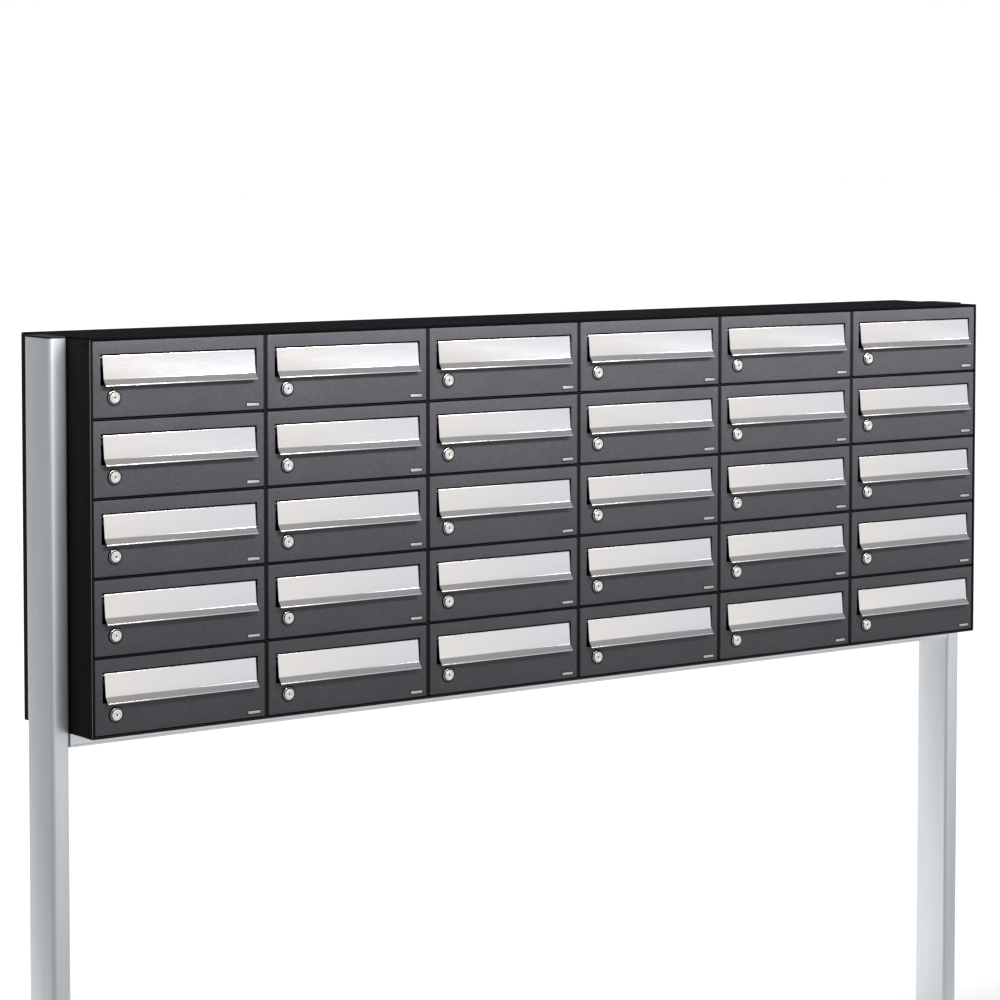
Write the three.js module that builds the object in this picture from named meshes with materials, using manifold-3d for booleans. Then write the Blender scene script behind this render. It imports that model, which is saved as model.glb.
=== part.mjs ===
// Cluster mailbox unit: six columns of five boxes in one casing, carried between two posts.
// Millimetres. +X is to the right, the doors face -Y, +Z is up. The origin is on the floor, mid-unit.
import * as THREE from "three";
import { mergeVertices } from "three/addons/utils/BufferGeometryUtils.js";
import Module from "manifold-3d";

const wasm = await Module();
wasm.setup();

// Grid of boxes. Column 1 is on the left, row 1 at the top.
const COLUMNS = 6;
const ROWS = 5;
const PITCH_X = 385;
const PITCH_Z = 150;
const CASE_DEPTH = 270;
const UNIT_TOP = 1750;
const GAP = 0.3; // air between neighbouring pieces that touch in the real unit

// Casing of sheet steel round the column bodies.
const CASE_SHEET = 2;
const SIDE_SHEET = 2.4;
const SIDE_LIP = 4.8;
const TRIM_LIP = 2.5;

// Column body: walls, back, shelves, hinge pins and strike tabs.
const WALL = 2.2;
const SHELF = 1.5;
const BODY_RECESS = 3;
const PIN_RADIUS = 2;
const PIN_REACH = 5.5;
const PIN_SIDES = 8;
const STRIKE_REACH = 20;
const STRIKE_HEIGHT = 24;
const STRIKE_Y = 16.5;

// Door: a folded sheet tray hung on pins near its right edge.
const DOOR_W = 376;
const DOOR_H = 144;
const DOOR_D = 16;
const DOOR_SHEET = 1.5;
const HINGE_IN = 5.5;
const HINGE_Y = 5;
const PIN_HOLE_RADIUS = 2.7;

// Mail flap: a sloping plate with a lip. A tab folded back at each end carries a pivot pin.
const FLAP_W = 334;
const FLAP_DROP = 27;
const FLAP_PIN_Y = 6;
const FLAP_PIN_DROP = 3.5;
const FLAP_PIN_RADIUS = 1.6;
const FLAP_TAB = 4;
const FLAP_TAB_FRONT = 0.8;
const FLAP_TAB_HALF = 2.5;
// Side view of the flap, y inwards and z up from its top edge.
const FLAP_PROFILE = [
  [0.5, 0], [-4, -45], [-13, -56.5], [-11.7, -57.3], [-2.6, -45.6], [2, 0],
];
const SLOT_W = 344;
const SLOT_TOP = 24;
const SLOT_H = 59;
const EAR = 1.5;
const EAR_DEPTH = 12;
const EAR_UP = 6.5;
const EAR_DOWN = 14;
const EAR_HOLE_RADIUS = 2.2;
const REST_TAB_W = 12;
const REST_TAB_Y = 1.3;
const REST_TAB_DROP = 7;

// Cam lock in the lower left of the door.
const LOCK_IN = 44.5;
const LOCK_UP = 37.8;
const LOCK_SIDES = 12;
const COLLAR_RADIUS = 13.5;
const COLLAR_FRONT = -3;
const SLEEVE_RADIUS = 9.5;
const SLEEVE_BACK = 15;
const BORE_RADIUS = 7.4;
const PLUG_RADIUS = 7;
const DISC_RADIUS = 10.75;
const DISC_FRONT = -5.3;
const CAM_FRONT = 18.8;
const CAM_SHEET = 2;
const CAM_HALF_W = 7;
const CAM_REACH = 35;

// Stand: two posts with caps and base plates, a rail under the casing and its two spigots.
const POST_X = 39;
const POST_Y = 100;
const POST_WALL = 3;
const POST_CORNER = 8;
const POST_CORNER_STEPS = 4;
const CAP_TOP = 3;
const CAP_SKIRT = 20;
const RAIL_H = 27;
const RAIL_WALL = 3;
const SPIGOT_REACH = 60;
const SPIGOT_WALL = 4;
const PLATE_X = 120;
const PLATE_Y = 300;
const PLATE_Z = 10;
const ANCHOR_RADIUS = 7;
const ANCHOR_SIDES = 12;
const ANCHOR_X = 42;
const ANCHOR_Y = 125;

// Places that several pieces share.
const FRONT = -CASE_DEPTH / 2;
const BACK = CASE_DEPTH / 2;
const HALF_GRID = (COLUMNS * PITCH_X) / 2;
const CASE_HALF = HALF_GRID + SIDE_SHEET;
const TRIM = SHELF / 2 + GAP;
const GRID_TOP = UNIT_TOP - CASE_SHEET - TRIM;
const GRID_BOTTOM = GRID_TOP - ROWS * PITCH_Z;
const CASE_BOTTOM = GRID_BOTTOM - TRIM - CASE_SHEET;
const POST_INNER = CASE_HALF + GAP;
const POST_MID = POST_INNER + POST_X / 2;
const POST_TOP = UNIT_TOP - CAP_TOP - GAP;
const RAIL_TOP = CASE_BOTTOM - GAP;

const PAINT_BLACK = new THREE.MeshStandardMaterial({ color: 0x161618, roughness: 0.55, metalness: 0.1 });
const PAINT_GREY = new THREE.MeshStandardMaterial({ color: 0x4a484e, roughness: 0.5, metalness: 0.2 });
const STEEL = new THREE.MeshStandardMaterial({ color: 0xd2d0d2, roughness: 0.35, metalness: 1 });
const CHROME = new THREE.MeshStandardMaterial({ color: 0xe2e0dc, roughness: 0.18, metalness: 1 });
const ALUMINIUM = new THREE.MeshStandardMaterial({ color: 0xb4b9be, roughness: 0.4, metalness: 1 });
const ZINC = new THREE.MeshStandardMaterial({ color: 0x9aa0a4, roughness: 0.5, metalness: 0.9 });
const PLASTIC = new THREE.MeshStandardMaterial({ color: 0x1c1c1e, roughness: 0.6, metalness: 0 });

function toSolid(geometry) {
  const bare = new THREE.BufferGeometry();
  bare.setAttribute("position", geometry.getAttribute("position"));
  if (geometry.index) bare.setIndex(geometry.index);
  const merged = mergeVertices(bare, 1e-4);
  const mesh = new wasm.Mesh({
    numProp: 3,
    vertProperties: new Float32Array(merged.getAttribute("position").array),
    triVerts: new Uint32Array(merged.index.array),
  });
  return new wasm.Manifold(mesh);
}

function toGeometry(solid) {
  const mesh = solid.getMesh();
  const indexed = new THREE.BufferGeometry();
  indexed.setAttribute("position", new THREE.BufferAttribute(mesh.vertProperties, mesh.numProp));
  indexed.setIndex(new THREE.BufferAttribute(mesh.triVerts, 1));
  const geometry = indexed.toNonIndexed();
  geometry.computeVertexNormals();
  return geometry;
}

function box([x0, x1], [y0, y1], [z0, z1]) {
  const geometry = new THREE.BoxGeometry(x1 - x0, y1 - y0, z1 - z0);
  geometry.translate((x0 + x1) / 2, (y0 + y1) / 2, (z0 + z1) / 2);
  return toSolid(geometry);
}

// [low, high] of two distances from the middle, on the left (side -1) or the right (side 1).
function across(side, a, b) {
  return [Math.min(side * a, side * b), Math.max(side * a, side * b)];
}

// A prism of regular section. start is the middle of one end, axis is "x", "y" or "z".
function rod(axis, radius, length, sides, start) {
  const geometry = new THREE.CylinderGeometry(radius, radius, length, sides);
  geometry.translate(0, length / 2, 0);
  if (axis === "x") geometry.rotateZ(-Math.PI / 2);
  if (axis === "z") geometry.rotateX(Math.PI / 2);
  geometry.translate(...start);
  return toSolid(geometry);
}

// A [y, z] outline drawn out along X, centred on x = 0.
function bar(outline, width) {
  const shape = new THREE.Shape(outline.map(([y, z]) => new THREE.Vector2(y, z)));
  const geometry = new THREE.ExtrudeGeometry(shape, { depth: width, bevelEnabled: false });
  geometry.rotateY(Math.PI / 2);
  geometry.rotateX(Math.PI / 2);
  geometry.translate(-width / 2, 0, 0);
  return toSolid(geometry);
}

// An upright column of rounded rectangular section, centred on x = y = 0.
function roundedColumn(sizeX, sizeY, radius, height) {
  const halfX = sizeX / 2;
  const halfY = sizeY / 2;
  const shape = new THREE.Shape();
  shape.moveTo(halfX, radius - halfY);
  shape.absarc(halfX - radius, halfY - radius, radius, 0, Math.PI / 2);
  shape.absarc(radius - halfX, halfY - radius, radius, Math.PI / 2, Math.PI);
  shape.absarc(radius - halfX, radius - halfY, radius, Math.PI, Math.PI * 1.5);
  shape.absarc(halfX - radius, radius - halfY, radius, Math.PI * 1.5, Math.PI * 2);
  const options = { depth: height, bevelEnabled: false, curveSegments: POST_CORNER_STEPS };
  return toSolid(new THREE.ExtrudeGeometry(shape, options));
}

function addPiece(group, name, solid, material, x = 0, y = 0, z = 0) {
  const mesh = new THREE.Mesh(toGeometry(solid), material);
  mesh.name = name;
  mesh.position.set(x, y, z);
  group.add(mesh);
}

// ---------------------------------------------------------------- casing

// The lip folds over the front edge of the outermost column wall.
function sidePanel(side) {
  const z = [GRID_BOTTOM - SHELF / 2, GRID_TOP + SHELF / 2];
  const sheet = box(across(side, HALF_GRID, CASE_HALF), [FRONT, BACK], z);
  return sheet.add(box(across(side, CASE_HALF - SIDE_LIP, CASE_HALF), [FRONT, FRONT + CASE_SHEET], z));
}

// direction is 1 for the roof and -1 for the floor; the front lip folds back towards the doors.
function trimPanel(direction) {
  const edge = direction > 0 ? GRID_TOP : GRID_BOTTOM;
  const inner = edge + direction * TRIM;
  const outer = inner + direction * CASE_SHEET;
  const lipEnd = inner - direction * TRIM_LIP;
  const sheet = box([-CASE_HALF, CASE_HALF], [FRONT, BACK], across(1, inner, outer));
  const half = CASE_HALF - SIDE_LIP - GAP;
  return sheet.add(box([-half, half], [FRONT, FRONT + CASE_SHEET], across(1, lipEnd, outer)));
}

function backPanel() {
  const half = HALF_GRID - GAP;
  return box([-half, half], [BACK - CASE_SHEET, BACK], [GRID_BOTTOM - SHELF / 2, GRID_TOP + SHELF / 2]);
}

function addCasing(group) {
  addPiece(group, "side_panel_left", sidePanel(-1), PAINT_BLACK);
  addPiece(group, "side_panel_right", sidePanel(1), PAINT_BLACK);
  addPiece(group, "roof_panel", trimPanel(1), PAINT_BLACK);
  addPiece(group, "floor_panel", trimPanel(-1), PAINT_BLACK);
  addPiece(group, "back_panel", backPanel(), PAINT_BLACK);
}

// ---------------------------------------------------------------- column bodies

// One folded body with a bay for each row, centred on x = 0, front plane at y = 0, floor line at z = 0.
function columnBody() {
  const half = PITCH_X / 2 - GAP;
  const inner = half - WALL;
  const back = CASE_DEPTH - CASE_SHEET - GAP;
  const top = ROWS * PITCH_Z + SHELF / 2;
  let body = box([-half, half], [BODY_RECESS, back], [-SHELF / 2, top]);
  for (let row = 0; row < ROWS; row += 1) {
    const floor = row * PITCH_Z;
    const bay = [floor + SHELF / 2, floor + PITCH_Z - SHELF / 2];
    body = body.subtract(box([-inner, inner], [0, back - SHELF], bay));
    body = body.add(strikeTab(inner, floor + (PITCH_Z - DOOR_H) / 2 + LOCK_UP));
  }
  return addHingePins(body, half);
}

// The tab on the left wall that the lock's cam turns behind.
function strikeTab(inner, z) {
  const x = [-inner - WALL / 2, STRIKE_REACH - inner];
  return box(x, [STRIKE_Y, STRIKE_Y + SHELF], [z - STRIKE_HEIGHT / 2, z + STRIKE_HEIGHT / 2]);
}

// A pin stands on each shelf and hangs under the next one; each door turns on one of either.
function addHingePins(body, half) {
  const x = DOOR_W / 2 - HINGE_IN;
  let result = body;
  for (let shelf = 0; shelf <= ROWS; shelf += 1) {
    const low = shelf === 0 ? 0 : -PIN_REACH;
    const high = shelf === ROWS ? 0 : PIN_REACH;
    const start = [x, HINGE_Y, shelf * PITCH_Z + low];
    result = result.add(rod("z", PIN_RADIUS, high - low, PIN_SIDES, start));
  }
  return result;
}

function columnX(column) {
  return (column - (COLUMNS + 1) / 2) * PITCH_X;
}

function addColumnBodies(group) {
  for (let column = 1; column <= COLUMNS; column += 1) {
    addPiece(group, `column_body_${column}`, columnBody(), PAINT_BLACK, columnX(column), FRONT, GRID_BOTTOM);
  }
}

// ---------------------------------------------------------------- doors, flaps and locks
// All three are drawn with x = 0 at the door's middle, y = 0 at its face and z = 0 at its bottom edge.

function doorTray() {
  const half = DOOR_W / 2;
  const inner = half - DOOR_SHEET;
  const slotHalf = SLOT_W / 2;
  const slotTop = DOOR_H - SLOT_TOP;
  let tray = box([-half, half], [0, DOOR_D], [0, DOOR_H]);
  tray = tray.subtract(box([-inner, inner], [DOOR_SHEET, DOOR_D + 1], [DOOR_SHEET, DOOR_H - DOOR_SHEET]));
  tray = tray.subtract(box([-slotHalf, slotHalf], [-1, DOOR_D], [slotTop - SLOT_H, slotTop]));
  const hole = rod("z", PIN_HOLE_RADIUS, DOOR_H + 2, PIN_SIDES, [half - HINGE_IN, HINGE_Y, -1]);
  return tray.subtract(hole);
}

function flapPinZ() {
  return DOOR_H - FLAP_DROP - FLAP_PIN_DROP;
}

// The two ears behind the door that carry the flap's pivot pins.
function addEars(door) {
  const z = [flapPinZ() - EAR_DOWN, flapPinZ() + EAR_UP];
  let result = door;
  for (const side of [-1, 1]) {
    const x = across(side, SLOT_W / 2, SLOT_W / 2 + EAR);
    result = result.add(box(x, [DOOR_SHEET / 2, EAR_DEPTH], z));
  }
  return result;
}

// A tab folded inwards from each ear, just behind the flap, stops it when it hangs shut.
function addRestTabs(door) {
  const z = [flapPinZ() - EAR_DOWN, flapPinZ() - REST_TAB_DROP];
  let result = door;
  for (const side of [-1, 1]) {
    const x = across(side, SLOT_W / 2 - REST_TAB_W, SLOT_W / 2 + EAR);
    result = result.add(box(x, [REST_TAB_Y, REST_TAB_Y + DOOR_SHEET], z));
  }
  return result;
}

function lockCollar() {
  const start = [LOCK_IN - DOOR_W / 2, COLLAR_FRONT, LOCK_UP];
  return rod("y", COLLAR_RADIUS, DOOR_SHEET - COLLAR_FRONT, LOCK_SIDES, start);
}

function movingDoor() {
  const lockX = LOCK_IN - DOOR_W / 2;
  const length = 2 * SLOT_W;
  const pivotHole = rod("x", EAR_HOLE_RADIUS, length, PIN_SIDES, [-SLOT_W, FLAP_PIN_Y, flapPinZ()]);
  const sleeve = rod("y", SLEEVE_RADIUS, SLEEVE_BACK, LOCK_SIDES, [lockX, 0, LOCK_UP]);
  const bore = rod("y", BORE_RADIUS, CAM_FRONT * 2, LOCK_SIDES, [lockX, -CAM_FRONT, LOCK_UP]);
  const bored = addEars(doorTray()).subtract(pivotHole);
  return addRestTabs(bored).add(lockCollar()).add(sleeve).subtract(bore);
}

function flapPlate() {
  const top = DOOR_H - FLAP_DROP;
  return bar(FLAP_PROFILE.map(([y, z]) => [y, z + top]), FLAP_W);
}

// The flap with its end tabs, and a pin from each tab through the ear beside it.
function flapWithPins() {
  const z = [flapPinZ() - FLAP_TAB_HALF, flapPinZ() + FLAP_TAB_HALF];
  const y = [FLAP_TAB_FRONT, FLAP_PIN_Y + FLAP_TAB_HALF];
  const tabStart = FLAP_W / 2 - FLAP_TAB;
  const pinLength = SLOT_W / 2 + EAR - tabStart;
  let flap = flapPlate();
  for (const side of [-1, 1]) {
    const pinStart = Math.min(side * tabStart, side * (tabStart + pinLength));
    const pin = rod("x", FLAP_PIN_RADIUS, pinLength, PIN_SIDES, [pinStart, FLAP_PIN_Y, flapPinZ()]);
    flap = flap.add(box(across(side, tabStart, FLAP_W / 2), y, z)).add(pin);
  }
  return flap;
}

function lockPlug() {
  const lockX = LOCK_IN - DOOR_W / 2;
  const discLength = COLLAR_FRONT - GAP - DISC_FRONT;
  const disc = rod("y", DISC_RADIUS, discLength, LOCK_SIDES, [lockX, DISC_FRONT, LOCK_UP]);
  const plug = rod("y", PLUG_RADIUS, CAM_FRONT - DISC_FRONT, LOCK_SIDES, [lockX, DISC_FRONT, LOCK_UP]);
  const camX = [lockX - CAM_HALF_W, lockX + CAM_HALF_W];
  const camZ = [LOCK_UP - CAM_REACH, LOCK_UP + CAM_HALF_W];
  return disc.add(plug).add(box(camX, [CAM_FRONT, CAM_FRONT + CAM_SHEET], camZ));
}

// Door, flap, collar and lock head as one body, for the columns whose small pieces are joined.
function joinedDoor() {
  const start = [LOCK_IN - DOOR_W / 2, DISC_FRONT, LOCK_UP];
  const head = rod("y", DISC_RADIUS, -DISC_FRONT, LOCK_SIDES, start);
  return addEars(doorTray()).add(flapWithPins()).add(lockCollar()).add(head);
}

function doorPlace(column, row) {
  const bottom = GRID_TOP - row * PITCH_Z + (PITCH_Z - DOOR_H) / 2;
  return [columnX(column), FRONT, bottom];
}

function addMovingColumn(group, column) {
  for (let row = 1; row <= ROWS; row += 1) {
    const place = doorPlace(column, row);
    addPiece(group, `door_c${column}_r${row}`, movingDoor(), PAINT_GREY, ...place);
    addPiece(group, `flap_c${column}_r${row}`, flapWithPins(), STEEL, ...place);
    addPiece(group, `lock_c${column}_r${row}`, lockPlug(), CHROME, ...place);
  }
}

function addJoinedColumn(group, column) {
  for (let row = 1; row <= ROWS; row += 1) {
    addPiece(group, `door_c${column}_r${row}`, joinedDoor(), PAINT_GREY, ...doorPlace(column, row));
  }
}

// ---------------------------------------------------------------- stand

function postTube() {
  const height = POST_TOP - PLATE_Z - GAP;
  const outer = roundedColumn(POST_X, POST_Y, POST_CORNER, height);
  const innerX = POST_X - 2 * POST_WALL;
  const innerY = POST_Y - 2 * POST_WALL;
  const bore = roundedColumn(innerX, innerY, POST_CORNER - POST_WALL, height + 2);
  return outer.subtract(bore.translate([0, 0, -1]));
}

function postCap() {
  const top = roundedColumn(POST_X, POST_Y, POST_CORNER, CAP_TOP);
  const slack = 2 * (POST_WALL + GAP);
  const skirt = roundedColumn(POST_X - slack, POST_Y - slack, POST_CORNER - POST_WALL - GAP, CAP_SKIRT);
  return top.add(skirt.translate([0, 0, CAP_TOP / 2 - CAP_SKIRT]));
}

function basePlate() {
  let plate = box([-PLATE_X / 2, PLATE_X / 2], [-PLATE_Y / 2, PLATE_Y / 2], [0, PLATE_Z]);
  for (const x of [-ANCHOR_X, ANCHOR_X]) {
    for (const y of [-ANCHOR_Y, ANCHOR_Y]) {
      plate = plate.subtract(rod("z", ANCHOR_RADIUS, PLATE_Z + 2, ANCHOR_SIDES, [x, y, -1]));
    }
  }
  return plate;
}

function bottomRail() {
  const length = CASE_HALF;
  const half = POST_Y / 2;
  const outer = box([-length, length], [-half, half], [RAIL_TOP - RAIL_H, RAIL_TOP]);
  const z = [RAIL_TOP - RAIL_H + RAIL_WALL, RAIL_TOP - RAIL_WALL];
  return outer.subtract(box([-length - 1, length + 1], [RAIL_WALL - half, half - RAIL_WALL], z));
}

// A short cup fixed to the post; the rail's open end slides over it.
function railSpigot(side) {
  const half = POST_Y / 2 - RAIL_WALL - GAP;
  const z = [RAIL_TOP - RAIL_H + RAIL_WALL + GAP, RAIL_TOP - RAIL_WALL - GAP];
  const hollow = [z[0] + SPIGOT_WALL, z[1] - SPIGOT_WALL];
  const cup = box(across(side, CASE_HALF - SPIGOT_REACH, CASE_HALF), [-half, half], z);
  const mouth = across(side, CASE_HALF - SPIGOT_REACH - 1, CASE_HALF - SPIGOT_WALL);
  return cup.subtract(box(mouth, [SPIGOT_WALL - half, half - SPIGOT_WALL], hollow));
}

function addStand(group) {
  for (const [name, side] of [["left", -1], ["right", 1]]) {
    addPiece(group, `post_${name}`, postTube(), ALUMINIUM, side * POST_MID, 0, PLATE_Z + GAP);
    addPiece(group, `post_cap_${name}`, postCap(), PLASTIC, side * POST_MID, 0, UNIT_TOP - CAP_TOP);
    addPiece(group, `base_plate_${name}`, basePlate(), ZINC, side * POST_MID, 0, 0);
    addPiece(group, `rail_spigot_${name}`, railSpigot(side), ZINC);
  }
  addPiece(group, "bottom_rail", bottomRail(), ALUMINIUM);
}

const unit = new THREE.Group();
unit.name = "cluster_mailbox_unit";
addStand(unit);
addCasing(unit);
addColumnBodies(unit);
addMovingColumn(unit, 1);
for (let column = 2; column <= COLUMNS; column += 1) {
  addJoinedColumn(unit, column);
}

export default unit;
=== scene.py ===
"""Looks for the cluster mailbox unit: thirty letter boxes in one casing between two aluminium posts.

Metres, in the CAD model's frame: +X right, the doors face -Y, +Z up, origin on the floor.
Pieces are drawn in millimetres, and finish_mesh turns them into metres.
"""

import math

import bmesh
import bpy
from mathutils import Matrix, Vector


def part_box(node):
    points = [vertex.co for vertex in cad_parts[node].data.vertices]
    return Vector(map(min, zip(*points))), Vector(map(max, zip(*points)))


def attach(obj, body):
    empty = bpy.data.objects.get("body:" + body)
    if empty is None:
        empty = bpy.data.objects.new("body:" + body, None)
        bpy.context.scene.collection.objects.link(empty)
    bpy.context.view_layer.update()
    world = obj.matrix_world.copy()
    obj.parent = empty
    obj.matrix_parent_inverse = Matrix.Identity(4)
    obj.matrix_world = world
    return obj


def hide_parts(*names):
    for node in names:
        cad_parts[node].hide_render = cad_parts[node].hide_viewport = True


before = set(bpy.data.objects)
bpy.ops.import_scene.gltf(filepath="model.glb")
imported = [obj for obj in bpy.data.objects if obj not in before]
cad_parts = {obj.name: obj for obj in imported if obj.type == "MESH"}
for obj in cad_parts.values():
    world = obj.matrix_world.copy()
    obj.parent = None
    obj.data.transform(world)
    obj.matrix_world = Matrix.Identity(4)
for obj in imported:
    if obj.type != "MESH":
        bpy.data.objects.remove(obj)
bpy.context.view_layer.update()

MM = 0.001
COLUMNS = 6
ROWS = 5
MOVING_COLUMN = 1

# Where things stand in the CAD model, in metres.
DOOR_FACES_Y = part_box("side_panel_left")[0].y
POST_MIDDLE_X = sum(v.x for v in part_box("post_right")) / 2

# Door, flap and lock sizes in millimetres, measured from the door's middle, face and bottom edge.
DOOR_W, DOOR_H, DOOR_D, SHEET = 376.0, 144.0, 16.0, 1.5
FOLD_RADIUS = 1.6
HINGE_IN, HINGE_Y, HINGE_HOLE_RADIUS = 5.5, 5.0, 2.5
SLOT_W, SLOT_TOP, SLOT_H = 344.0, 24.0, 59.0
FLAP_W, FLAP_TOP = 334.0, 117.0
PIN_Y, PIN_Z, PIN_RADIUS = 6.0, 113.5, 1.6
END_TAB, END_TAB_INSET, END_TAB_FRONT, END_TAB_HALF = 4.0, 0.2, 0.9, 2.5
EAR_DOWN, EAR_UP, EAR_BACK = 14.0, 6.5, 12.0
EAR_FOOT_FROM, EAR_FOOT_TO, EAR_FOOT_SHEET = 1.2, 12.0, 1.2
REST_TAB, REST_TAB_FRONT, REST_TAB_DROP, REST_TAB_OVERLAP = 12.0, 1.3, 7.0, 0.5
LOCK_X, LOCK_Z, LOCK_SIDES = -143.5, 37.8, 48
LOCK_HOLE_RADIUS, LOCK_HOLE_FROM, LOCK_HOLE_TO, LOCK_HOLE_SIDES = 9.6, -3.0, 8.0, 40
NUT_RADIUS, NUT_DEPTH, NUT_Y = 13.0, 4.0, 4.0
CAM_FRONT, CAM_SHEET, CAM_HALF_W, CAM_REACH = 18.8, 2.0, 7.0, 35.0
CAM_SCREW_RADIUS, CAM_SCREW_DEPTH, CAM_SCREW_BACK = 5.0, 3.0, 1.9
KEY_FRONT, KEY_BACK, KEY_HALF_W, KEY_HALF_H = -5.26, -4.6, 0.45, 3.2
PLATE_X, PLATE_Z, PLATE_W, PLATE_H = 163.0, 10.0, 30.0, 8.0

# How far the other cutters run past the sheet that they cut, in millimetres.
CUTTER_PAST = 6.0

# Stand and casing details in millimetres.
ROW_PITCH = 150.0
SIDE_SCREW_BACK, SIDE_SCREW_FROM_END = 16.0, 12.0
BACK_SCREW_INSET, BACK_SCREW_LEVELS = 12.0, 3
WORN_EDGE_IN, WORN_EDGE_HALF, WORN_EDGE_SHORT = 0.9, 0.6, 1.0
WORN_EDGE_PROUD, WORN_EDGE_SUNK = 0.15, 0.3
HINGE_COLLAR_RADIUS, HINGE_COLLAR_H, DOOR_GAP_HALF = 2.35, 5.6, 3.0
ANCHOR_X, ANCHOR_Y = 42.0, 125.0
WELD_SIZE, WELD_STEP, WELD_ROOT, WELD_POINTS = 3.6, 2.5, 1.5, 4
WELD_RIPPLE, WELD_WAVE = 0.5, 1.9
BEAD_LOW, BEAD_HIGH, BEAD_PROUD, BEAD_SUNK = 3.6, 4.8, 0.9, 0.2

# An anchor bolt from below, in millimetres: radius, bottom, top and sides of washer, nut and thread.
BOLT_STEPS = ((13.0, 0.0, 2.2, 40), (10.6, 2.2, 11.0, 6), (6.0, 11.0, 20.0, 24))

# How strongly the posts' faces are crowned, as a rise per metre squared.
CROWN_X, CROWN_Y = 4.0, 1.7

# Closer than this, points are one: in a drawing in millimetres, and in a CAD node in metres.
SAME_POINT, SAME_CAD_POINT = 1e-4, 1e-5
TINY = 1e-6

# Angles in degrees above which an edge stays sharp in the shading, and above which it is rounded.
SHARP_ANGLE, SHARP_ANGLE_WELD, ROUNDED_ANGLE = 38.0, 60.0, 35.0

# ---------------------------------------------------------------- mesh helpers


def add_object(name, data):
    obj = bpy.data.objects.new(name, data)
    bpy.context.scene.collection.objects.link(obj)
    return obj


def shade(mesh, angle=SHARP_ANGLE):
    mesh.polygons.foreach_set("use_smooth", [True] * len(mesh.polygons))
    mesh.set_sharp_from_angle(angle=math.radians(angle))
    return mesh


def finish_mesh(bm, name, angle=SHARP_ANGLE):
    """A mesh in metres from a bmesh drawn in millimetres."""
    bmesh.ops.remove_doubles(bm, verts=bm.verts, dist=SAME_POINT)
    bmesh.ops.recalc_face_normals(bm, faces=bm.faces)
    mesh = bpy.data.meshes.new(name)
    bm.to_mesh(mesh)
    bm.free()
    mesh.transform(Matrix.Scale(MM, 4))
    return shade(mesh, angle)


def edges_of(verts):
    return list(dict.fromkeys(e for v in verts for e in v.link_edges))


def round_edges(bm, edges, width, segments=2):
    bmesh.ops.bevel(bm, geom=edges, offset=width, segments=segments, profile=0.5, affect="EDGES")


def add_box(bm, low, high, bevel=0.0, segments=2):
    """A box from its two corners, with rounded edges."""
    low, high = Vector(low), Vector(high)
    made = bmesh.ops.create_cube(bm, size=1.0)["verts"]
    size = high - low
    for v in made:
        v.co = Vector(a + (c + 0.5) * s for a, c, s in zip(low, v.co, size))
    if bevel > 0.0:
        round_edges(bm, edges_of(made), bevel, segments)


def add_rod(bm, radius, length, middle, axis="Z", sides=20):
    """A cylinder, or a prism if it has few sides, along one axis. Returns its vertices."""
    made = bmesh.ops.create_cone(
        bm, cap_ends=True, segments=sides, radius1=radius, radius2=radius, depth=length
    )["verts"]
    if axis != "Z":
        turn = Matrix.Rotation(math.pi / 2, 3, "Y" if axis == "X" else "X")
        bmesh.ops.rotate(bm, verts=made, matrix=turn)
    bmesh.ops.translate(bm, verts=made, vec=middle)
    return made


def add_turned(bm, outline, centre, steps=40):
    """A turned body about the Y axis from [radius, y] points: from axis to axis, or a closed ring."""
    rings = []
    for radius, y in outline:
        if radius < TINY:
            rings.append([bm.verts.new((centre[0], y, centre[1]))])
            continue
        ring = []
        for i in range(steps):
            a = 2 * math.pi * i / steps
            x, z = centre[0] + radius * math.cos(a), centre[1] + radius * math.sin(a)
            ring.append(bm.verts.new((x, y, z)))
        rings.append(ring)
    for one, two in zip(rings, rings[1:]):
        for i in range(steps):
            j = (i + 1) % steps
            corners = [one[i % len(one)], one[j % len(one)], two[j % len(two)], two[i % len(two)]]
            face = list(dict.fromkeys(corners))
            if len(face) > 2:
                bm.faces.new(face)


def add_lock_turning(bm, outline, steps=LOCK_SIDES):
    """A turned body on the lock's axis."""
    add_turned(bm, outline, (LOCK_X, LOCK_Z), steps)


def add_prism(bm, outline, x0, x1):
    """A closed [y, z] outline drawn out along X."""
    near = [bm.verts.new((x0, y, z)) for y, z in outline]
    far = [bm.verts.new((x1, y, z)) for y, z in outline]
    count = len(outline)
    for i in range(count):
        j = (i + 1) % count
        bm.faces.new((near[i], near[j], far[j], far[i]))
    bm.faces.new(near)
    bm.faces.new(list(reversed(far)))


def across(side, near, far):
    """The low and high x of a stretch from near to far on one side of the middle."""
    return sorted((side * near, side * far))


def cut(mesh, bm):
    """The mesh with the cutter in the bmesh taken out of it."""
    target = add_object("cut_target", mesh)
    tool = add_object("cut_tool", finish_mesh(bm, "tool"))
    modifier = target.modifiers.new("cut", "BOOLEAN")
    modifier.operation = "DIFFERENCE"
    modifier.solver = "EXACT"
    modifier.object = tool
    graph = bpy.context.evaluated_depsgraph_get()
    made = bpy.data.meshes.new_from_object(target.evaluated_get(graph))
    for obj in (target, tool):
        bpy.data.objects.remove(obj)
    return made


def cut_box(mesh, low, high, bevel=0.0, segments=2):
    bm = bmesh.new()
    add_box(bm, low, high, bevel, segments)
    return cut(mesh, bm)


def map_face(mesh):
    """A UV map that runs 0 to 1 over a door's face, so that the flap's painted shade towards its right
    follows the piece and not the row.
    """
    layer = mesh.uv_layers.new(name="face")
    for loop in mesh.loops:
        co = mesh.vertices[loop.vertex_index].co
        layer.data[loop.index].uv = (co.x / (DOOR_W * MM) + 0.5, co.z / (DOOR_H * MM))
    return mesh


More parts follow.
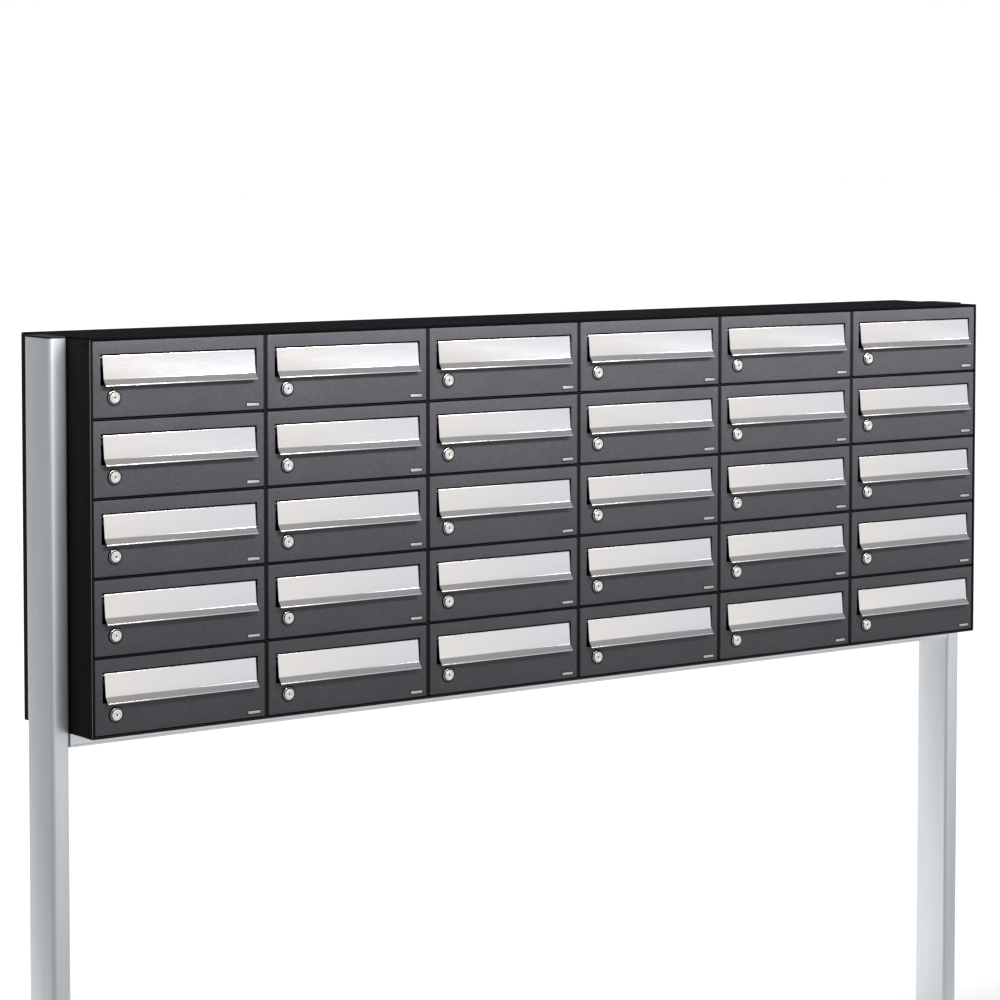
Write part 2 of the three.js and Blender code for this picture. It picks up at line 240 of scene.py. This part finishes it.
def place(mesh, name, material, body, at=(0.0, 0.0, 0.0), nodes=()):
    """One piece from a template mesh, moved to its place in metres and riding on a body."""
    own = mesh.copy()
    own.name = name
    own.transform(Matrix.Translation(at))
    own.materials.clear()
    own.materials.append(material)
    piece = add_object(name, own)
    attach(piece, body)
    if nodes:
        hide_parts(*nodes)


# ---------------------------------------------------------------- materials

WHITE = (1.0, 1.0, 1.0, 1.0)

# Most of a noise texture's values lie between these two.
NOISE_LOW, NOISE_HIGH = 0.3, 0.7


class Nodes:
    """A node tree with short calls for the nodes used here. An input is a value or a node's output."""

    def __init__(self, tree):
        self.tree = tree
        self.coordinates = self.add("ShaderNodeTexCoord").outputs
        self.at = self.coordinates["Object"]

    def feed(self, socket, value):
        if isinstance(value, bpy.types.NodeSocket):
            self.tree.links.new(value, socket)
        else:
            socket.default_value = value

    def fill(self, node, **inputs):
        for key, value in inputs.items():
            self.feed(node.inputs[key.replace("_", " ")], value)

    def add(self, kind, **inputs):
        node = self.tree.nodes.new(kind)
        self.fill(node, **inputs)
        return node

    def stretched(self, scale):
        return self.add("ShaderNodeMapping", Scale=scale, Vector=self.at).outputs["Vector"]

    def noise(self, scale, detail=3.0, roughness=0.55, vector=None):
        inputs = {"Scale": scale, "Detail": detail, "Roughness": roughness}
        return self.add("ShaderNodeTexNoise", Vector=vector or self.at, **inputs).outputs["Fac"]

    def ramp(self, value, low, high, bottom=0.0, top=1.0, kind="LINEAR"):
        """Bottom where the value is low and top where it is high."""
        node = self.add("ShaderNodeMapRange", From_Min=low, From_Max=high, To_Min=bottom, To_Max=top)
        node.interpolation_type = kind
        self.fill(node, Value=value)
        return node.outputs["Result"]

    def spread(self, noise, bottom=0.0, top=1.0):
        """A noise's usual values spread from bottom to top."""
        return self.ramp(noise, NOISE_LOW, NOISE_HIGH, bottom, top)

    def mix(self, factor, one, two):
        node = self.add("ShaderNodeMix")
        node.data_type = "RGBA"
        one, two = ((*c, 1.0) if isinstance(c, tuple) else c for c in (one, two))
        self.fill(node, Factor=factor, A=one, B=two)
        return node.outputs["Result"]

    def math(self, operation, one, two=0.0):
        node = self.add("ShaderNodeMath")
        node.operation = operation
        self.feed(node.inputs[0], one)
        self.feed(node.inputs[1], two)
        return node.outputs["Value"]

    def split(self, vector):
        return tuple(self.add("ShaderNodeSeparateXYZ", Vector=vector).outputs)

    def bump(self, height, rise, **after):
        """The normal for a height of that many metres. Normal=... puts it on top of another bump."""
        return self.add("ShaderNodeBump", Distance=rise, Height=height, **after).outputs["Normal"]


class Surface(Nodes):
    """A material's nodes."""

    def __init__(self, name):
        self.material = bpy.data.materials.new(name)
        self.material.use_nodes = True
        super().__init__(self.material.node_tree)

    def finish(self, **inputs):
        self.fill(self.tree.nodes["Principled BSDF"], **inputs)
        return self.material


def times(colour, factor):
    return tuple(c * factor for c in colour)


def powder_coat(name, colour, lighter, roughness, sheen):
    """Fine-texture powder coat: a stipple about a millimetre across, with slight tone drift."""
    n = Surface(name)
    grain = n.noise(scale=900.0, detail=2.0, roughness=0.6)
    patch = n.noise(scale=9.0)
    fleck = n.noise(scale=330.0, roughness=0.7)
    tone = n.mix(n.ramp(fleck, low=0.35, high=0.68), colour, lighter)
    # Random patches of slightly darker coat.
    darker_patches = n.ramp(patch, low=0.62, high=0.3, top=0.35)
    return n.finish(
        Base_Color=n.mix(darker_patches, tone, times(colour, 0.86)),
        Roughness=n.spread(patch, roughness - 0.05, roughness + 0.05),
        Normal=n.bump(grain, rise=0.00012),
        Metallic=0.0,
        Specular_IOR_Level=sheen,
    )


def brush_lines(n, along):
    """Fine scratches and broad bands that run along one axis."""
    made = []
    for wide, long in ((1100.0, 40.0), (90.0, 4.0)):
        scale = [wide] * 3
        scale["XYZ".index(along)] = long
        made.append(n.noise(scale=1.0, detail=2.0, roughness=0.5, vector=n.stretched(scale)))
    return made


def brushed(name, colour, other, roughness, along, painted_shade_tone=None):
    """Metal with fine scratches along one axis; the optional last colour is painted shade, a second,
    darker tone towards the piece's right.
    """
    n = Surface(name)
    lines, bands = brush_lines(n, along)
    tone = n.mix(n.spread(bands), colour, other)
    # Painted shade: the tone darkens towards the piece's right.
    if painted_shade_tone:
        face = n.add("ShaderNodeUVMap")
        face.uv_map = "face"
        rightward = n.split(face.outputs["UV"])[0]
        tone = n.mix(n.ramp(rightward, low=0.1, high=0.9), tone, painted_shade_tone)
    return n.finish(
        Base_Color=tone,
        Roughness=n.spread(lines, roughness - 0.03, roughness + 0.04),
        Normal=n.bump(lines, rise=0.000003),
        Metallic=1.0,
    )


def crowned(name, colour, other):
    """Satin extrusion whose faces are drawn slightly convex, so they shade from edge to edge."""
    n = Surface(name)
    lines, bands = brush_lines(n, "Z")
    x, y, _ = n.split(n.at)
    off_axis = n.math("SUBTRACT", n.math("ABSOLUTE", x), POST_MIDDLE_X)
    rise_x = n.math("MULTIPLY", n.math("POWER", off_axis, 2.0), -CROWN_X)
    rise_y = n.math("MULTIPLY", n.math("POWER", y, 2.0), -CROWN_Y)
    crown = n.bump(n.math("ADD", rise_x, rise_y), rise=1.0)
    return n.finish(
        Base_Color=n.mix(n.spread(bands), colour, other),
        Roughness=n.spread(lines, 0.34, 0.42),
        Normal=n.bump(lines, rise=0.000003, Normal=crown),
        Metallic=0.8,
    )


def plated(name, colour, roughness):
    """Smooth plated or bare metal with faint wipe marks and a very fine grain."""
    n = Surface(name)
    wipe = n.noise(scale=60.0)
    return n.finish(
        Base_Color=n.mix(n.spread(wipe), colour, times(colour, 0.9)),
        Roughness=n.spread(wipe, roughness, roughness + 0.1),
        Normal=n.bump(n.noise(scale=2500.0, detail=2.0), rise=0.00001),
        Metallic=1.0,
    )


def galvanised(name):
    """Hot-dip zinc: flat spangles a few millimetres across in slightly different greys."""
    n = Surface(name)
    cells = n.add("ShaderNodeTexVoronoi", Scale=140.0, Vector=n.at).outputs["Color"]
    tone = n.add("ShaderNodeSeparateColor", Color=cells).outputs["Red"]
    return n.finish(
        Base_Color=n.mix(tone, (0.34, 0.36, 0.38), (0.56, 0.58, 0.6)),
        Roughness=n.ramp(tone, low=0.0, high=1.0, bottom=0.35, top=0.6),
        Normal=n.bump(n.noise(scale=400.0), rise=0.00008),
        Metallic=0.9,
    )


def moulded(name, colour, roughness):
    """Moulded plastic with a fine spark-eroded grain."""
    n = Surface(name)
    tone = n.noise(scale=25.0)
    return n.finish(
        Base_Color=n.mix(n.spread(tone), colour, times(colour, 1.35)),
        Roughness=n.spread(tone, roughness - 0.05, roughness + 0.08),
        Normal=n.bump(n.noise(scale=1500.0, detail=2.0), rise=0.00006),
        Specular_IOR_Level=0.12,
    )


# Painted shade: a darker copy of the casing's black paint, with less sheen, for the side panels and the
# roof.
SHADED_BLACK, SHADED_BLACK_FLECK = (0.003, 0.003, 0.0036), (0.0055, 0.0055, 0.0065)
DOOR_PAINT = powder_coat("door_anthracite", (0.058, 0.0555, 0.0635), (0.088, 0.084, 0.095), 0.42, 0.28)
CASE_PAINT = powder_coat("casing_black", (0.005, 0.005, 0.006), (0.009, 0.009, 0.0105), 0.48, 0.22)
SIDE_SHADED_PAINT = powder_coat("side_black_shaded", SHADED_BLACK, SHADED_BLACK_FLECK, 0.55, 0.08)
ROOF_SHADED_PAINT = powder_coat("roof_black_shaded", SHADED_BLACK, SHADED_BLACK_FLECK, 0.85, 0.01)
EDGE = plated("edge_worn", (0.2, 0.2, 0.205), 0.4)
# The flap's last colour is painted shade that darkens every flap towards its right.
FLAP_METAL = brushed(
    "flap_steel", (0.76, 0.735, 0.72), (0.79, 0.765, 0.75), 0.2, "X", painted_shade_tone=(0.7, 0.69, 0.73)
)
POST_METAL = crowned("post_aluminium", (0.79, 0.82, 0.845), (0.83, 0.86, 0.88))
RAIL_METAL = brushed("rail_aluminium", (0.78, 0.8, 0.82), (0.84, 0.86, 0.88), 0.36, "X")
NICKEL = plated("lock_nickel", (0.93, 0.91, 0.88), 0.2)
SATIN = plated("badge_satin", (0.6, 0.59, 0.6), 0.35)
ZINC = galvanised("zinc_steel")
PLASTIC = moulded("cap_plastic", (0.012, 0.012, 0.014), 0.72)
DARK = moulded("keyhole_dark", (0.006, 0.006, 0.006), 0.6)

# ---------------------------------------------------------------- door pieces


def door_mesh():
    """A folded sheet tray with rounded folds, the mail slot, the lock's hole and the hinge's holes."""
    half = DOOR_W / 2
    slot_top = DOOR_H - SLOT_TOP
    past = CUTTER_PAST
    bm = bmesh.new()
    add_box(bm, (-half, 0, 0), (half, DOOR_D + past, DOOR_H), FOLD_RADIUS, 3)
    tray = finish_mesh(bm, "door")
    behind = (half + past, DOOR_D + 2 * past, DOOR_H + past)
    tray = cut_box(tray, (-half - past, DOOR_D, -past), behind)
    inside = (half - SHEET, DOOR_D + past, DOOR_H - SHEET)
    tray = cut_box(tray, (SHEET - half, SHEET, SHEET), inside, bevel=0.5, segments=1)
    slot = (SLOT_W / 2, DOOR_D - past, slot_top)
    tray = cut_box(tray, (-SLOT_W / 2, -past, slot_top - SLOT_H), slot, bevel=1.2)
    bm = bmesh.new()
    radius, front, back = LOCK_HOLE_RADIUS, LOCK_HOLE_FROM, LOCK_HOLE_TO
    hole = [(0, front), (radius, front), (radius, back), (0, back)]
    add_lock_turning(bm, hole, LOCK_HOLE_SIDES)
    tray = cut(tray, bm)
    bm = bmesh.new()
    add_rod(bm, HINGE_HOLE_RADIUS, DOOR_H + past, (half - HINGE_IN, HINGE_Y, DOOR_H / 2))
    tray = cut(tray, bm)
    return map_face(shade(tray))


def ears_mesh():
    """The two ears that carry the flap's pins, each with a folded foot and a tab the flap rests on."""
    bm = bmesh.new()
    half = SLOT_W / 2
    low, high = PIN_Z - EAR_DOWN, PIN_Z + EAR_UP
    for side in (-1, 1):
        x0, x1 = across(side, half, half + SHEET)
        add_box(bm, (x0, SHEET, low), (x1, EAR_BACK, high), bevel=0.4, segments=1)
        x0, x1 = across(side, half + EAR_FOOT_FROM, half + EAR_FOOT_TO)
        add_box(bm, (x0, SHEET, low), (x1, SHEET + EAR_FOOT_SHEET, high), bevel=0.3, segments=1)
        x0, x1 = across(side, half - REST_TAB, half + REST_TAB_OVERLAP)
        back = (x1, REST_TAB_FRONT + SHEET, PIN_Z - REST_TAB_DROP)
        add_box(bm, (x0, REST_TAB_FRONT, low), back, bevel=0.3, segments=1)
    return map_face(finish_mesh(bm, "ears"))


def flap_outline():
    """The flap's side view: a rounded top edge, a sloping face, a rounded bend and a rolled lip."""
    outer = [(1.7, 0.0), (1.0, 0.0), (0.6, -0.4), (0.45, -1.2)]
    outer += [(-3.55, -43.6), (-3.9, -44.6), (-4.6, -45.6)]
    outer += [(-11.6, -54.2), (-12.6, -55.2), (-13.0, -56.2), (-12.8, -57.1), (-12.0, -57.3)]
    inner = [(-11.3, -57.0), (-11.1, -56.0), (-3.3, -46.5), (-2.5, -45.2), (-2.1, -43.8)]
    inner += [(1.95, -1.0), (1.95, -0.3)]
    return [(y, z + FLAP_TOP) for y, z in outer + inner]


def flap_mesh():
    """The flap plate with its two folded end tabs and a pivot pin in each."""
    bm = bmesh.new()
    half = FLAP_W / 2
    add_prism(bm, flap_outline(), -half, half)
    ends = [e for e in bm.edges if abs(e.verts[0].co.x - e.verts[1].co.x) < TINY]
    round_edges(bm, ends, width=0.35)
    length = SLOT_W / 2 + SHEET - (half - END_TAB)
    for side in (-1, 1):
        x0, x1 = across(side, half - END_TAB, half - END_TAB_INSET)
        low = (x0, END_TAB_FRONT, PIN_Z - END_TAB_HALF)
        add_box(bm, low, (x1, PIN_Y + END_TAB_HALF, PIN_Z + END_TAB_HALF), bevel=0.5)
        middle = side * (half - END_TAB + length / 2)
        add_rod(bm, PIN_RADIUS, length, (middle, PIN_Y, PIN_Z), "X")
    return map_face(finish_mesh(bm, "flap"))


def ring_and_shade_mesh():
    """The black ring under the lock's collar, and a dark ring on the collar's face round the disc:
    painted shade for the gap between collar and disc.
    """
    bm = bmesh.new()
    under = [(13.45, -0.1), (15.2, -0.1), (15.2, -1.2), (14.7, -2.5), (13.7, -2.9), (13.45, -2.7)]
    # Painted shade: a dark ring laid on the collar's face, not a groove cut into it.
    painted_shade_ring = [(10.6, -3.0), (12.3, -3.05), (12.3, -2.4), (10.6, -2.4)]
    for outline in (under, painted_shade_ring):
        add_lock_turning(bm, outline + outline[:1])
    return finish_mesh(bm, "ring_and_shade")


def collar_mesh():
    """The lock's fixed collar, its sleeve and the nut behind the door."""
    bm = bmesh.new()
    outline = [(7.4, -2.6), (9.6, -3.0), (12.4, -3.0), (13.2, -2.4), (13.5, -1.4), (13.5, 0.0)]
    outline += [(9.5, 0.0), (9.5, 15.0), (7.4, 15.0)]
    add_lock_turning(bm, outline + outline[:1])
    add_rod(bm, NUT_RADIUS, NUT_DEPTH, (LOCK_X, NUT_Y, LOCK_Z), "Y", 6)
    return finish_mesh(bm, "collar")


def plug_mesh():
    """The lock's round face with a stepped rim, its plug, the cam behind and the cam's screw."""
    bm = bmesh.new()
    outline = [(0, -4.7), (2.3, -4.7), (2.3, -5.1), (6.0, -5.25), (6.5, -4.8), (7.0, -5.3), (10.1, -5.2)]
    outline += [(10.75, -4.6), (10.75, -3.3), (7.0, -3.3), (7.0, CAM_FRONT), (0, CAM_FRONT)]
    add_lock_turning(bm, outline)
    low = (LOCK_X - CAM_HALF_W, CAM_FRONT, LOCK_Z - CAM_REACH)
    high = (LOCK_X + CAM_HALF_W, CAM_FRONT + CAM_SHEET, LOCK_Z + CAM_HALF_W)
    add_box(bm, low, high, bevel=0.6)
    middle = (LOCK_X, CAM_FRONT + CAM_SCREW_BACK, LOCK_Z)
    add_rod(bm, CAM_SCREW_RADIUS, CAM_SCREW_DEPTH, middle, "Y", 6)
    return finish_mesh(bm, "plug")


def keyhole_mesh():
    """The key opening in the middle of the plug as painted shade: a dark round centre and a short slot
    laid on the plug's face.
    """
    bm = bmesh.new()
    add_lock_turning(bm, [(0, -5.28), (1.6, -5.28), (1.6, -4.5), (0, -4.5)], steps=28)
    low = (LOCK_X - KEY_HALF_W, KEY_FRONT, LOCK_Z - KEY_HALF_H)
    high = (LOCK_X + KEY_HALF_W, KEY_BACK, LOCK_Z + KEY_HALF_H)
    add_box(bm, low, high, bevel=0.2, segments=1)
    return finish_mesh(bm, "keyhole")


def plate_mesh(inset, front, back):
    """One layer of the blank name plate: a thin rounded plate that much smaller all round."""
    bm = bmesh.new()
    half_w, half_h = PLATE_W / 2 - inset, PLATE_H / 2 - inset
    low = (PLATE_X - half_w, front, PLATE_Z - half_h)
    add_box(bm, low, (PLATE_X + half_w, back, PLATE_Z + half_h), bevel=0.25)
    return finish_mesh(bm, "plate")


def add_doors():
    """Every door with its flap, lock and plate. Flap and lock are CAD nodes in the moving column only."""
    rim = plate_mesh(inset=0.0, front=-0.5, back=0.0)
    face = plate_mesh(inset=1.3, front=-0.65, back=-0.1)
    # Mesh, name, material, slot, the kind of body it belongs to, and whether it replaces that node.
    pieces = (
        (door_mesh(), "door_sheet", DOOR_PAINT, "door_anthracite", "door", True),
        (ears_mesh(), "flap_ears", CASE_PAINT, "casing_black", "door", False),
        (collar_mesh(), "lock_collar", NICKEL, "lock_chrome", "door", False),
        (ring_and_shade_mesh(), "lock_ring_and_shade", DARK, "cap_plastic", "door", False),
        (rim, "name_plate_rim", DARK, "cap_plastic", "door", False),
        (face, "name_plate", SATIN, "flap_steel", "door", False),
        (flap_mesh(), "mail_flap", FLAP_METAL, "flap_steel", "flap", True),
        (plug_mesh(), "lock_plug", NICKEL, "lock_chrome", "lock", True),
        (keyhole_mesh(), "lock_keyhole", DARK, "cap_plastic", "lock", False),
    )
    for column in range(1, COLUMNS + 1):
        for row in range(1, ROWS + 1):
            tag = f"c{column}_r{row}"
            low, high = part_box(f"door_{tag}")
            at = ((low.x + high.x) / 2, DOOR_FACES_Y, low.z)
            for mesh, name, material, slot, kind, replaces in pieces:
                separate = kind == "door" or column == MOVING_COLUMN
                body = f"{kind}_{tag}" if separate else f"door_{tag}"
                nodes = [body] if replaces and separate else []
                place(mesh, f"{name}_{tag}", material, body, at, nodes)


# ---------------------------------------------------------------- casing


def soften(node, material, width):
    """A CAD node that stays: its edges are rounded by modifiers and it gets a finished material."""
    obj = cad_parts[node]
    obj.data.materials.clear()
    obj.data.materials.append(material)
    weld = obj.modifiers.new("weld", "WELD")
    weld.merge_threshold = SAME_CAD_POINT
    bevel = obj.modifiers.new("bevel", "BEVEL")
    bevel.width = width * MM
    bevel.segments = 2
    bevel.limit_method = "ANGLE"
    bevel.angle_limit = math.radians(ROUNDED_ANGLE)
    bevel.harden_normals = True


def screw_mesh(turn):
    """A low domed screw head with a socket. It looks along -Y, turned by that many degrees about Z."""
    bm = bmesh.new()
    outline = [(0, -0.3), (1.6, -0.3), (1.6, -1.1), (2.6, -1.0), (3.3, -0.6), (3.4, 0.2), (0, 0.2)]
    add_turned(bm, outline, (0, 0), 24)
    mesh = finish_mesh(bm, "screw")
    mesh.transform(Matrix.Rotation(math.radians(turn), 4, "Z"))
    return mesh


def worn_edge_mesh(height):
    """A bare folded edge: the narrow worn line down the front of a side panel."""
    bm = bmesh.new()
    low = (-WORN_EDGE_HALF, -WORN_EDGE_PROUD, 0)
    add_box(bm, low, (WORN_EDGE_HALF, WORN_EDGE_SUNK, height), bevel=0.12, segments=1)
    return finish_mesh(bm, "worn_edge")


def hinge_collar_mesh():
    """The collar of a hinge pin, in the gap between two doors, coloured dark as painted shade so that it
    stays as dark as the gap.
    """
    bm = bmesh.new()
    made = add_rod(bm, HINGE_COLLAR_RADIUS, HINGE_COLLAR_H, (0, 0, 0))
    round_edges(bm, edges_of(made), width=0.25, segments=1)
    return finish_mesh(bm, "hinge_collar")


def add_casing():
    """The casing's panels and column bodies, which stay CAD nodes, with their screws and pin collars."""
    # The roof and the side panels take the darker copy of the casing's black: painted shade.
    paints = (("roof_panel", ROOF_SHADED_PAINT), ("floor_panel", CASE_PAINT), ("back_panel", CASE_PAINT))
    for name, paint in paints:
        soften(name, paint, width=0.6)
    add_back_screws()
    for side, name in ((-1, "side_panel_left"), (1, "side_panel_right")):
        soften(name, SIDE_SHADED_PAINT, width=0.6)
        add_side_details(side, name)
    collar = hinge_collar_mesh()
    for column in range(1, COLUMNS + 1):
        soften(f"column_body_{column}", CASE_PAINT, width=0.3)
        add_hinge_collars(collar, column)


def add_side_details(side, name):
    """Screws at the row boundaries and the worn front edge of one side panel."""
    low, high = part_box(name)
    outer = high.x if side > 0 else low.x
    screw = screw_mesh(side * 90.0)
    lowest, highest = low.z + SIDE_SCREW_FROM_END * MM, high.z - SIDE_SCREW_FROM_END * MM
    for row in range(ROWS + 1):
        z = min(max(low.z + row * ROW_PITCH * MM, lowest), highest)
        at = (outer, low.y + SIDE_SCREW_BACK * MM, z)
        place(screw, f"{name}_screw_{row}", DARK, "frame", at)
    edge = worn_edge_mesh((high.z - low.z) / MM - 2 * WORN_EDGE_SHORT)
    at = (outer - side * WORN_EDGE_IN * MM, low.y, low.z + WORN_EDGE_SHORT * MM)
    place(edge, f"{name}_edge", EDGE, "frame", at)


def spaced(low, high, count):
    """Evenly spaced values between two edges of the back panel, inset at both ends."""
    start, end = low + BACK_SCREW_INSET * MM, high - BACK_SCREW_INSET * MM
    return [start + (end - start) * i / (count - 1) for i in range(count)]


def add_back_screws():
    """Three screws in the back panel at each wall between columns, and at both ends."""
    low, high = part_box("back_panel")
    screw = screw_mesh(180.0)
    for wall, x in enumerate(spaced(low.x, high.x, COLUMNS + 1)):
        for level, z in enumerate(spaced(low.z, high.z, BACK_SCREW_LEVELS)):
            place(screw, f"back_screw_{wall}_{level}", DARK, "frame", (x, high.y, z))


def add_hinge_collars(collar, column):
    """The collars in the four gaps between one column's doors, on the hinge axis."""
    for row in range(1, ROWS):
        low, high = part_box(f"door_c{column}_r{row}")
        at = (high.x - HINGE_IN * MM, DOOR_FACES_Y + HINGE_Y * MM, low.z - DOOR_GAP_HALF * MM)
        # Painted shade: the collar takes the dark material so that the gap stays dark.
        place(collar, f"hinge_pin_c{column}_r{row}", DARK, "frame", at)


# ---------------------------------------------------------------- stand


def bolt_mesh():
    """An anchor bolt: washer, hexagon nut and the bolt's end above it."""
    bm = bmesh.new()
    for radius, low, high, sides in BOLT_STEPS:
        made = add_rod(bm, radius, high - low, (0, 0, (low + high) / 2), sides=sides)
        round_edges(bm, edges_of(made), width=0.5)
    return finish_mesh(bm, "bolt")


def add_bolts(side):
    """The four anchor bolts on one base plate."""
    bolt = bolt_mesh()
    low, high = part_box(f"base_plate_{side}")
    middle = (low + high) / 2
    for number, (sign_x, sign_y) in enumerate(((-1, -1), (1, -1), (1, 1), (-1, 1))):
        at = (middle.x + sign_x * ANCHOR_X * MM, middle.y + sign_y * ANCHOR_Y * MM, high.z)
        place(bolt, f"anchor_bolt_{side}_{number}", ZINC, "frame", at)


def weld_mesh(low, high):
    """A fillet bead round the foot of a post, given the post's box, with a rippled surface."""
    bm = bmesh.new()
    path = []
    corners = [(low.x, low.y), (high.x, low.y), (high.x, high.y), (low.x, high.y)]
    for (x0, y0), (x1, y1) in zip(corners, corners[1:] + corners[:1]):
        steps = max(2, round(math.hypot(x1 - x0, y1 - y0) / MM / WELD_STEP))
        path += [(x0 + (x1 - x0) * i / steps, y0 + (y1 - y0) * i / steps) for i in range(steps)]
    middle = (low + high) / 2
    rings = []
    for number, (x, y) in enumerate(path):
        out = Vector((x - middle.x, y - middle.y)).normalized()
        size = WELD_SIZE + WELD_RIPPLE * math.sin(number * WELD_WAVE)
        angles = [math.pi / 2 * point / (WELD_POINTS - 1) for point in range(WELD_POINTS)]
        profile = [(size * math.cos(a), size * math.sin(a)) for a in angles] + [(-WELD_ROOT, 0.0)]
        places = [(x / MM + out.x * reach, y / MM + out.y * reach, rise) for reach, rise in profile]
        rings.append([bm.verts.new(at) for at in places])
    for one, two in zip(rings, rings[1:] + rings[:1]):
        for k in range(len(one)):
            after = (k + 1) % len(one)
            bm.faces.new((one[k], one[after], two[after], two[k]))
    return finish_mesh(bm, "weld", SHARP_ANGLE_WELD)


def add_rail_bead():
    """The raised line along the lower edge of the rail's front face."""
    low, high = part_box("bottom_rail")
    bm = bmesh.new()
    add_box(bm, (low.x / MM, -BEAD_PROUD, BEAD_LOW), (high.x / MM, BEAD_SUNK, BEAD_HIGH), bevel=0.3)
    at = (0.0, low.y, low.z)
    place(finish_mesh(bm, "bead"), "rail_bead", RAIL_METAL, "frame", at)


def add_stand():
    """The posts, caps, base plates, spigots and rail, which stay CAD nodes, with welds and bolts."""
    for side in ("left", "right"):
        soften(f"post_{side}", POST_METAL, width=0.4)
        soften(f"post_cap_{side}", PLASTIC, width=0.8)
        soften(f"base_plate_{side}", ZINC, width=1.0)
        soften(f"rail_spigot_{side}", ZINC, width=0.5)
        low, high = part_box(f"post_{side}")
        weld = weld_mesh(low, high)
        place(weld, f"weld_{side}", ZINC, "frame", (0.0, 0.0, low.z))
        add_bolts(side)
    soften("bottom_rail", RAIL_METAL, width=1.0)
    add_rail_bead()


# ---------------------------------------------------------------- stage

FLOOR_HALF = 120000.0

# The camera's place in metres, its tilt and turn in degrees, and its lens in millimetres.
CAMERA_AT = (-3.979, -5.242, 2.088)
CAMERA_DOWN, CAMERA_TURN = 3.31, -36.0
CAMERA_LENS, CAMERA_SENSOR, CAMERA_FAR = 112.0, 36.0, 400.0
CAMERA_SHIFT_X, CAMERA_SHIFT_Y = 0.025, -0.163


def add_floor():
    """A pale floor whose glow is painted light: it glows up towards the surround's white behind the unit,
    where it fills in the unit's cast shade, and far in front of it.
    """
    n = Surface("floor_pale")
    tone = n.mix(n.spread(n.noise(scale=0.6)), (0.86, 0.86, 0.86), (0.84, 0.84, 0.845))
    x, y, _ = n.split(n.at)
    # Painted light: the glow rises behind the unit and far ahead of it.
    behind = n.math("MULTIPLY", n.ramp(y, low=-0.6, high=0.5), n.ramp(x, low=-2.3, high=-1.4))
    far = n.ramp(y, low=-0.8, high=-5.0, top=0.6)
    ahead = n.math("MULTIPLY", far, n.ramp(x, low=-3.0, high=0.0))
    glow = n.ramp(n.math("MAXIMUM", behind, ahead), low=0.0, high=1.0, bottom=0.1, top=0.8)
    paint = n.finish(Base_Color=tone, Roughness=0.8, Emission_Color=WHITE, Emission_Strength=glow)
    bm = bmesh.new()
    bmesh.ops.create_grid(bm, x_segments=2, y_segments=2, size=FLOOR_HALF)
    mesh = finish_mesh(bm, "floor")
    mesh.materials.append(paint)
    add_object("floor", mesh)


def add_world():
    """A white surround: bright at the horizon, greyer overhead and greyer towards the left."""
    world = bpy.data.worlds.new("studio")
    bpy.context.scene.world = world
    world.use_nodes = True
    n = Nodes(world.node_tree)
    x, _, z = n.split(n.coordinates["Generated"])
    height = n.ramp(z, low=0.12, high=0.6, bottom=1.0, top=0.38, kind="SMOOTHSTEP")
    left = n.ramp(x, low=-0.75, high=0.2, bottom=0.3, top=1.0, kind="SMOOTHSTEP")
    n.fill(n.tree.nodes["Background"], Strength=n.math("MULTIPLY", height, left), Color=WHITE)


def add_light(name, at, look, size, watts, spread):
    """A softbox with a grid over it, so that its light fades outside the spread angle in degrees."""
    light = bpy.data.lights.new(name, "AREA")
    light.shape = "RECTANGLE"
    light.size, light.size_y = size
    light.energy = watts
    light.spread = math.radians(spread)
    obj = add_object(name, light)
    obj.location = at
    obj.rotation_euler = (Vector(look) - Vector(at)).to_track_quat("-Z", "Y").to_euler()
    obj.visible_camera = False


def add_lights():
    """One long softbox above the front: the top row gets most of it and the bottom row least."""
    at, look = (0.7, -2.3, 3.2), (0.7, 0.0, 3.2)
    add_light("softbox_front", at, look, size=(5.0, 0.5), watts=228.0, spread=100.0)


def add_camera():
    """A long lens from the front left, a little above the casing."""
    data = bpy.data.cameras.new("camera")
    data.sensor_width = CAMERA_SENSOR
    data.lens = CAMERA_LENS
    data.shift_x, data.shift_y = CAMERA_SHIFT_X, CAMERA_SHIFT_Y
    data.clip_end = CAMERA_FAR
    camera = add_object("camera", data)
    camera.location = CAMERA_AT
    camera.rotation_euler = (math.radians(90 - CAMERA_DOWN), 0.0, math.radians(CAMERA_TURN))
    bpy.context.scene.camera = camera


bpy.context.scene.view_settings.view_transform = "Standard"
add_camera()
add_doors()
add_casing()
add_stand()
add_floor()
add_world()
add_lights()
